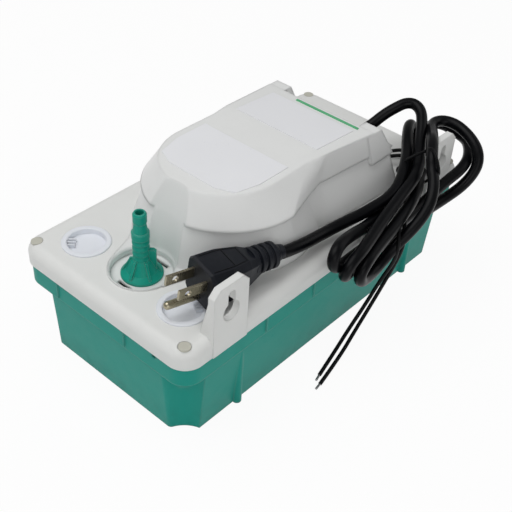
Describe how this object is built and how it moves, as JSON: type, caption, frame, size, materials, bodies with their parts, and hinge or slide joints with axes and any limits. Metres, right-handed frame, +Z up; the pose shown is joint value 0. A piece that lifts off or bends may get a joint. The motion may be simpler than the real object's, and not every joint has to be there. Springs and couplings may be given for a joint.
{
  "type": "condensate pump",
  "caption": "Low tank-type condensate pump: float and switches in a drain tank, shaded-pole motor under a moulded housing, barbed discharge fitting, keyhole tabs, coiled cord with plug.",
  "frame": {"origin": "on the floor, under the middle of the deck cover", "axes": "+X from the inlet and discharge end to the motor's rear end, +Y away from the keyhole tabs, +Z up"},
  "size_m": [0.2806, 0.1693, 0.1204],
  "materials": {
    "tank_plastic": "fine satin moulding",
    "deck_plastic": "soft gloss moulding",
    "screw_cover": "satin covers over the screws",
    "housing_plastic": "soft gloss moulding",
    "label_film": "smooth film",
    "green_strip": "smooth film",
    "cap_plastic": "satin",
    "fitting_plastic": "satin",
    "seal_rubber": "dull",
    "inner_plastic": "satin",
    "hose_vinyl": "translucent",
    "shaft_steel": "ground",
    "core_steel": "laminated",
    "bracket_metal": "stamped",
    "bearing_bronze": "sintered",
    "coil_copper": "wound enamelled wire",
    "float_foam": "closed foam",
    "switch_case": "satin",
    "cord_rubber": "semi-gloss",
    "plug_metal": "plated",
    "lead_vinyl": "semi-gloss",
    "bare_copper": "bare strands"
  },
  "bodies": {
    "base": {"bobbin": "inner_plastic", "coil": "coil_copper", "cord_gland": "cord_rubber", "cord_hank": "cord_rubber", "cord_tie": "cord_rubber", "corner_screws": "screw_cover", "deck_cover": "deck_plastic", "discharge_tube": "hose_vinyl", "float_bracket": "inner_plastic", "float_pin": "shaft_steel", "front_label": "label_film", "inlet_cap_back": "cap_plastic", "inlet_cap_front": "cap_plastic", "lead_a_lower": "lead_vinyl", "lead_a_upper": "lead_vinyl", "lead_b_lower": "lead_vinyl", "lead_b_upper": "lead_vinyl", "lead_tips": "bare_copper", "lower_bearing": "bearing_bronze", "lower_bracket": "bracket_metal", "motor_housing": "housing_plastic", "plug_blades": "plug_metal", "plug_body": "cord_rubber", "plug_ground_pin": "plug_metal", "plug_strain_relief": "cord_rubber", "power_cord_riser": "cord_rubber", "power_cord_run": "cord_rubber", "pump_column": "inner_plastic", "rear_label": "label_film", "run_switch": "switch_case", "safety_switch": "switch_case", "stator_bolts": "core_steel", "stator_core": "core_steel", "switch_bracket": "bracket_metal", "tank": "tank_plastic", "trim_strip": "green_strip", "upper_bearing": "bearing_bronze", "upper_bracket": "bracket_metal", "volute": "inner_plastic", "volute_plate": "inner_plastic"},
    "rotor_unit": {"motor_shaft": "shaft_steel", "rotor": "core_steel", "impeller": "inner_plastic", "cooling_fan": "inner_plastic"},
    "float_unit": {"float_arm": "inner_plastic", "float": "float_foam"},
    "fitting": {"discharge_fitting": "fitting_plastic", "fitting_oring": "seal_rubber", "valve_seat": "inner_plastic"},
    "ball": {"check_valve_ball": "seal_rubber"},
    "run_rod": {"run_push_rod": "inner_plastic"},
    "safety_rod": {"safety_push_rod": "inner_plastic"},
    "run_lever_body": {"run_lever": "bracket_metal"},
    "safety_lever_body": {"safety_lever": "bracket_metal"}
  },
  "joints": [
    {"name": "motor_spin", "type": "hinge", "parent": "base", "child": "rotor_unit", "pos_m": [-0.032, 0, 0.092], "axis": [0, 0, 1], "continuous": true},
    {"name": "float_hinge", "type": "hinge", "parent": "base", "child": "float_unit", "pos_m": [0.022, 0, 0.05], "axis": [0, -1, 0], "range_deg": [0, 11]},
    {"name": "run_rod_slide", "type": "slide", "parent": "base", "child": "run_rod", "axis": [0, 0, 1], "range_m": [0, 0.0035]},
    {"name": "safety_rod_slide", "type": "slide", "parent": "base", "child": "safety_rod", "axis": [0, 0, 1], "range_m": [0, 0.0035]},
    {"name": "run_lever_hinge", "type": "hinge", "parent": "base", "child": "run_lever_body", "pos_m": [0.028, 0.006, 0.0834], "axis": [0, -1, 0], "range_deg": [0, 16.5]},
    {"name": "safety_lever_hinge", "type": "hinge", "parent": "base", "child": "safety_lever_body", "pos_m": [0.028, -0.006, 0.0834], "axis": [0, -1, 0], "range_deg": [0, 16.5]},
    {"name": "fitting_twist", "type": "hinge", "parent": "base", "child": "fitting", "pos_m": [-0.099, 0, 0.071], "axis": [0, 0, 1], "range_deg": [0, 45]},
    {"name": "check_valve_lift", "type": "slide", "parent": "fitting", "child": "ball", "axis": [0, 0, 1], "range_m": [0, 0.004]}
  ],
  "couplings": [
    {"joint": "run_rod_slide", "follows": "float_hinge", "m_per_rad": 0.018},
    {"joint": "safety_rod_slide", "follows": "float_hinge", "m_per_rad": 0.018},
    {"joint": "run_lever_hinge", "follows": "float_hinge", "ratio": 1.5},
    {"joint": "safety_lever_hinge", "follows": "float_hinge", "ratio": 1.5}
  ]
}
